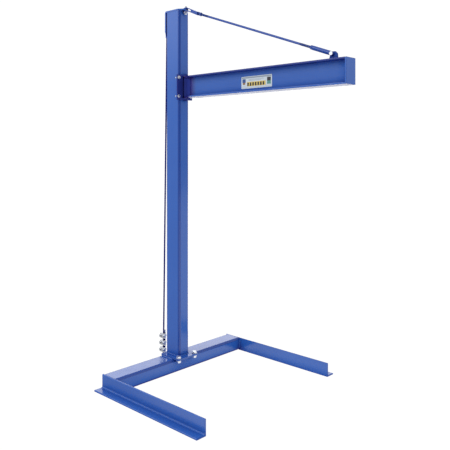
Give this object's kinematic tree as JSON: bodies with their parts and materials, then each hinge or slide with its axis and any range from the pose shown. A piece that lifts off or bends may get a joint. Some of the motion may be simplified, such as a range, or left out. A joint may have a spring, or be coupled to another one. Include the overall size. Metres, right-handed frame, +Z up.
{
  "type": "engine hoist crane",
  "caption": "Floor-standing hoist crane: U-shaped angle base, bolted box mast with wire rope back stay, and a swinging I-beam boom held by a tie rod.",
  "frame": {"origin": "centre of the mast at floor level, on the underside of the cross member", "axes": "+Z up, +X along the boom at rest, towards its free end, +Y to the left seen from the mast"},
  "size_m": [1.7226, 1.4074, 2.754],
  "materials": {
    "blue_paint": "semi-gloss",
    "zinc": "bright zinc plate",
    "galvanized": "galvanized",
    "bronze": "satin",
    "rope_steel": "dark blue coated wire",
    "label": "printed vinyl"
  },
  "bodies": {
    "frame": {"cross_member": "blue_paint", "left_leg_angle": "blue_paint", "right_leg_angle": "blue_paint", "foot_pad_plate": "blue_paint", "mast_base_plate": "blue_paint", "mast_tube": "blue_paint", "left_mast_lug": "blue_paint", "right_mast_lug": "blue_paint", "mast_head_bracket": "blue_paint", "head_rope_lug": "blue_paint", "hinge_bracket": "blue_paint", "rope_anchor_boss": "blue_paint", "rope_socket": "blue_paint", "swing_pin_cotter": "blue_paint", "swing_pin": "blue_paint", "foot_bolts": "zinc", "foot_nuts": "zinc", "foot_washers": "zinc", "hinge_bolts": "zinc", "hinge_nuts": "zinc", "hinge_washers": "zinc", "upper_clevis_pin": "zinc", "upper_clevis_nut": "zinc", "rope_socket_bolt": "zinc", "rope_socket_nut": "zinc", "rope_anchor_bolt": "zinc", "rope_anchor_washer": "zinc", "rope_clip_u_bolts": "zinc", "rope_clip_nuts": "zinc", "rope_thimble": "zinc", "rope_end_sleeve": "zinc", "rope_clip_saddles": "galvanized", "thrust_washers": "bronze", "stay_rope": "rope_steel"},
    "boom": {"boom_knuckle": "blue_paint", "knuckle_bushes": "bronze", "boom_beam": "blue_paint", "boom_end_plate": "blue_paint", "tie_lug": "blue_paint", "web_label": "label", "upper_clevis": "blue_paint", "lower_clevis": "blue_paint", "lower_clevis_pin": "zinc", "lower_pin_cotter": "zinc"},
    "tie_rod": {"tie_rod": "blue_paint"},
    "upper_jam_nut": {"upper_jam_nut": "blue_paint"},
    "lower_jam_nut": {"lower_jam_nut": "blue_paint"}
  },
  "joints": [
    {"name": "boom_swing", "type": "hinge", "parent": "frame", "child": "boom", "pos_m": [0.0925, 0, 2.142], "axis": [0, 0, 1], "range_deg": [-50, 50]},
    {"name": "tie_rod_turn", "type": "hinge", "parent": "boom", "child": "tie_rod", "pos_m": [0.6, 0, 2.54758], "axis": [0.9405, 0, -0.3399], "continuous": true},
    {"name": "upper_jam_nut_turn", "type": "hinge", "parent": "tie_rod", "child": "upper_jam_nut", "pos_m": [0.6, 0, 2.54758], "axis": [0.9405, 0, -0.3399], "continuous": true},
    {"name": "lower_jam_nut_turn", "type": "hinge", "parent": "tie_rod", "child": "lower_jam_nut", "pos_m": [0.6, 0, 2.54758], "axis": [0.9405, 0, -0.3399], "continuous": true}
  ]
}
